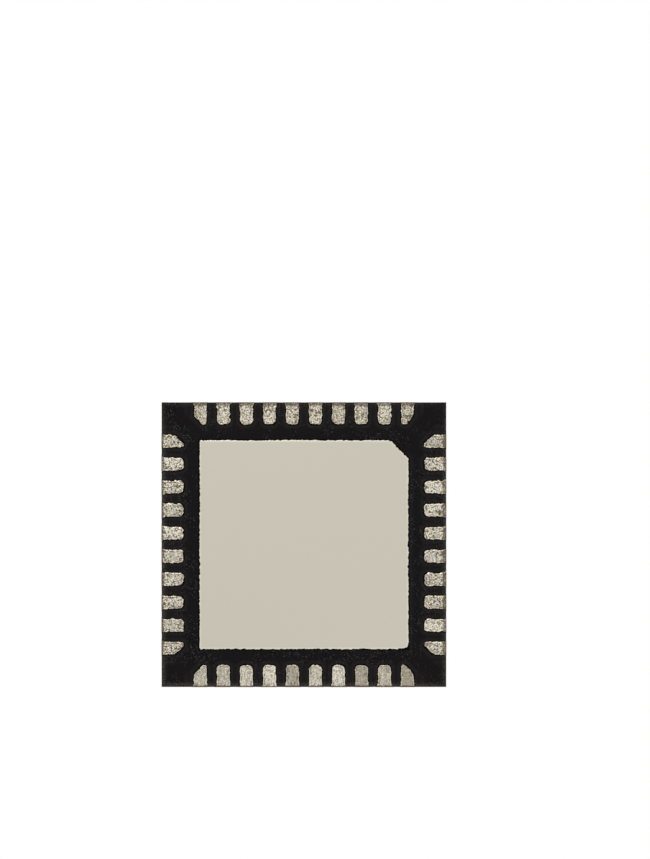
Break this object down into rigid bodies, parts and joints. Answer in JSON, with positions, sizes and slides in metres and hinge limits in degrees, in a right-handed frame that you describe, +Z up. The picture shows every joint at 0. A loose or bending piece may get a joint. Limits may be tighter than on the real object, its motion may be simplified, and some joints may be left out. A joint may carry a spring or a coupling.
{
  "type": "integrated circuit",
  "caption": "Square quad flat no-lead integrated circuit: a moulded block with a heat pad and rows of flush solder terminals underneath, and the die and bond wires inside.",
  "frame": {"origin": "centre of the solder side, in the plane of the terminals' solder faces", "axes": "+Z up through the package towards the marked top; +X and +Y along its sides; terminal 1 is at the corner of low x and low y"},
  "size_m": [0.005, 0.005, 0.0009],
  "materials": {
    "moulded_epoxy": "fine matt grain, spark eroded",
    "pad_tin_plate": "smooth satin tin plate",
    "terminal_tin_plate": "coarse grained tin plate over copper",
    "die_adhesive": "dull, filled with silver flake",
    "silicon": "polished",
    "bond_wire": "drawn, bright"
  },
  "bodies": {
    "root": {"mould_body": "moulded_epoxy", "die_paddle": "pad_tin_plate", "die_attach": "die_adhesive", "silicon_die": "silicon", "bond_wires_front": "bond_wire", "bond_wires_right": "bond_wire", "bond_wires_back": "bond_wire", "bond_wires_left": "bond_wire", "terminal_01": "terminal_tin_plate", "terminal_02": "terminal_tin_plate", "terminal_03": "terminal_tin_plate", "terminal_04": "terminal_tin_plate", "terminal_05": "terminal_tin_plate", "terminal_06": "terminal_tin_plate", "terminal_07": "terminal_tin_plate", "terminal_08": "terminal_tin_plate", "terminal_09": "terminal_tin_plate", "terminal_10": "terminal_tin_plate", "terminal_11": "terminal_tin_plate", "terminal_12": "terminal_tin_plate", "terminal_13": "terminal_tin_plate", "terminal_14": "terminal_tin_plate", "terminal_15": "terminal_tin_plate", "terminal_16": "terminal_tin_plate", "terminal_17": "terminal_tin_plate", "terminal_18": "terminal_tin_plate", "terminal_19": "terminal_tin_plate", "terminal_20": "terminal_tin_plate", "terminal_21": "terminal_tin_plate", "terminal_22": "terminal_tin_plate", "terminal_23": "terminal_tin_plate", "terminal_24": "terminal_tin_plate", "terminal_25": "terminal_tin_plate", "terminal_26": "terminal_tin_plate", "terminal_27": "terminal_tin_plate", "terminal_28": "terminal_tin_plate", "terminal_29": "terminal_tin_plate", "terminal_30": "terminal_tin_plate", "terminal_31": "terminal_tin_plate", "terminal_32": "terminal_tin_plate", "terminal_33": "terminal_tin_plate", "terminal_34": "terminal_tin_plate", "terminal_35": "terminal_tin_plate", "terminal_36": "terminal_tin_plate", "terminal_37": "terminal_tin_plate", "terminal_38": "terminal_tin_plate", "terminal_39": "terminal_tin_plate", "terminal_40": "terminal_tin_plate"}
  },
  "joints": []
}
